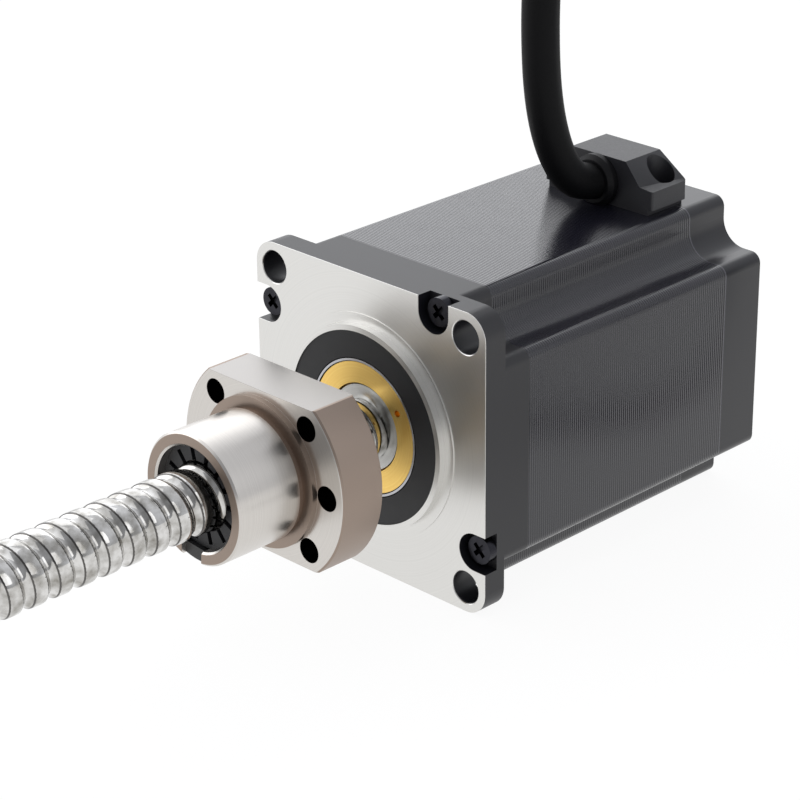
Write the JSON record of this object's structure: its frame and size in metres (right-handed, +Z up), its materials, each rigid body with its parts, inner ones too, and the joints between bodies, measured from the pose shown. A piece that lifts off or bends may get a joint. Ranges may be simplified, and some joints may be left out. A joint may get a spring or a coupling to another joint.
{
  "type": "ball screw stepper motor",
  "caption": "Square stepper motor whose hollow rotor turns a long ball screw, with a flanged ball nut, a front mounting flange and a cable leaving a clamp on top.",
  "frame": {"origin": "centre of the mounting face, on the screw axis", "axes": "+Y along the screw axis into the motor, -Y out along the screw, +Z up to the cable clamp"},
  "size_m": [0.1301, 0.1971, 0.1461],
  "materials": {
    "cast_aluminium": "machined",
    "black_casting": "satin",
    "black_laminations": "satin",
    "copper_windings": "gloss",
    "insulator_plastic": "matte",
    "black_ring": "satin",
    "bearing_steel": "ground",
    "screw_steel": "satin",
    "clamp_plastic": "matte",
    "grommet_rubber": "matte",
    "cable_sheath": "matte",
    "lead_insulation": "satin",
    "ground_steel": "ground",
    "rotor_steel": "satin",
    "magnet": "matte",
    "brass": "turned",
    "screw_track_steel": "ground",
    "nut_steel": "ground",
    "cap_plastic": "matte",
    "wiper_plastic": "matte"
  },
  "bodies": {
    "motor": {"front_flange": "cast_aluminium", "stator_core": "black_laminations", "rear_cover": "black_casting", "stator_coils": "copper_windings", "front_insulator": "insulator_plastic", "rear_insulator": "insulator_plastic", "bearing_cover_ring": "black_ring", "front_bearing_outer_ring": "bearing_steel", "rear_bearing_outer_ring": "bearing_steel", "wave_washer": "bearing_steel", "assembly_screws": "screw_steel", "cable_clamp": "clamp_plastic", "clamp_screws": "screw_steel", "cable_grommet": "grommet_rubber", "cable": "cable_sheath", "lead_wires": "lead_insulation"},
    "screw": {"rotor_shaft": "ground_steel", "rotor_cup_front": "rotor_steel", "rotor_cup_rear": "rotor_steel", "rotor_magnet": "magnet", "front_bearing_inner_ring": "bearing_steel", "rear_bearing_inner_ring": "bearing_steel", "bearing_lock_nut": "brass", "ball_screw": "screw_track_steel"},
    "nut": {"nut_body": "nut_steel", "front_return_cap": "cap_plastic", "rear_return_cap": "cap_plastic", "front_wiper": "wiper_plastic", "rear_wiper": "wiper_plastic"}
  },
  "joints": [
    {"name": "screw_spin", "type": "hinge", "parent": "motor", "child": "screw", "pos_m": [0, 0, 0], "axis": [0, 1, 0], "range_deg": [-860, 4170]},
    {"name": "nut_travel", "type": "slide", "parent": "motor", "child": "nut", "axis": [0, 1, 0], "range_m": [-0.058, 0.012]}
  ],
  "couplings": [
    {"joint": "nut_travel", "follows": "screw_spin", "m_per_rad": -0.00079577}
  ]
}
